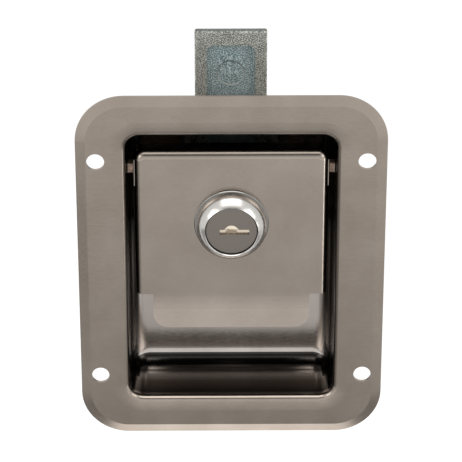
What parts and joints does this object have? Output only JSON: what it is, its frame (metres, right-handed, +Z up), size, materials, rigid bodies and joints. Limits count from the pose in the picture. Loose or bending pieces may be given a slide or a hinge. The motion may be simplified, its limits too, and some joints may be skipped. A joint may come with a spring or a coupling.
{
  "type": "paddle latch",
  "caption": "flush paddle latch: drawn sheet pan with a hinged finger paddle, a keyed lock cylinder in the paddle and a sprung slam bolt rising past the top of the flange",
  "frame": {"origin": "centre of the four mounting holes, on the rear face of the flange", "axes": "X to the right seen from the front, Y rearwards into the door, Z up towards the bolt's tip"},
  "size_m": [0.1112, 0.0445, 0.1529],
  "materials": {
    "satin_stainless": "fine satin stainless steel",
    "zinc_plated": "bright zinc plated steel",
    "cast_bolt": "blasted die-cast zinc alloy",
    "bright_steel": "bright drawn steel",
    "spring_steel": "oiled spring steel wire",
    "bright_nickel": "bright nickel plate on die-cast zinc",
    "satin_nickel": "satin nickel plate on die-cast zinc",
    "brass": "plain brass"
  },
  "bodies": {
    "pan": {"pan": "satin_stainless", "hinge_pin": "bright_steel", "hinge_pin_ring": "bright_steel", "bolt_housing": "zinc_plated", "housing_rivets": "bright_steel", "bolt_spring_left": "spring_steel", "bolt_spring_right": "spring_steel"},
    "paddle": {"paddle": "satin_stainless", "drive_lever": "zinc_plated", "paddle_spring": "spring_steel", "lock_body": "bright_nickel", "lock_trim_ring": "bright_nickel", "lock_washer": "zinc_plated", "lock_nut": "zinc_plated"},
    "bolt": {"slam_bolt": "cast_bolt"},
    "plug": {"lock_plug": "satin_nickel", "wafer_tumblers": "brass", "shutter_pin": "bright_steel", "plug_retaining_ring": "zinc_plated", "lock_cam": "zinc_plated", "cam_washer": "zinc_plated", "cam_screw": "bright_steel"},
    "shutter": {"keyway_shutter": "brass"}
  },
  "joints": [
    {"name": "paddle_hinge", "type": "hinge", "parent": "pan", "child": "paddle", "pos_m": [0, 0.0088, 0.0376], "axis": [-1, 0, 0], "range_deg": [0, 38], "stiffness_Nm_per_rad": 0.15, "springref_deg": -34.38},
    {"name": "bolt_slide", "type": "slide", "parent": "pan", "child": "bolt", "axis": [0, 0, -1], "range_m": [0, 0.01335], "stiffness_N_per_m": 600, "springref_m": -0.012, "deforming": ["bolt_spring_left", "bolt_spring_right"]},
    {"name": "plug_turn", "type": "hinge", "parent": "paddle", "child": "plug", "pos_m": [0, 0.01, 0.018], "axis": [0, 1, 0], "range_deg": [0, 90]},
    {"name": "shutter_flap", "type": "hinge", "parent": "plug", "child": "shutter", "pos_m": [0.0011, -0.00245, 0.02075], "axis": [1, 0, 0], "range_deg": [0, 70], "stiffness_Nm_per_rad": 0.0004, "springref_deg": -22.92}
  ],
  "couplings": [
    {"joint": "bolt_slide", "follows": "paddle_hinge", "m_per_rad": 0.020126}
  ]
}
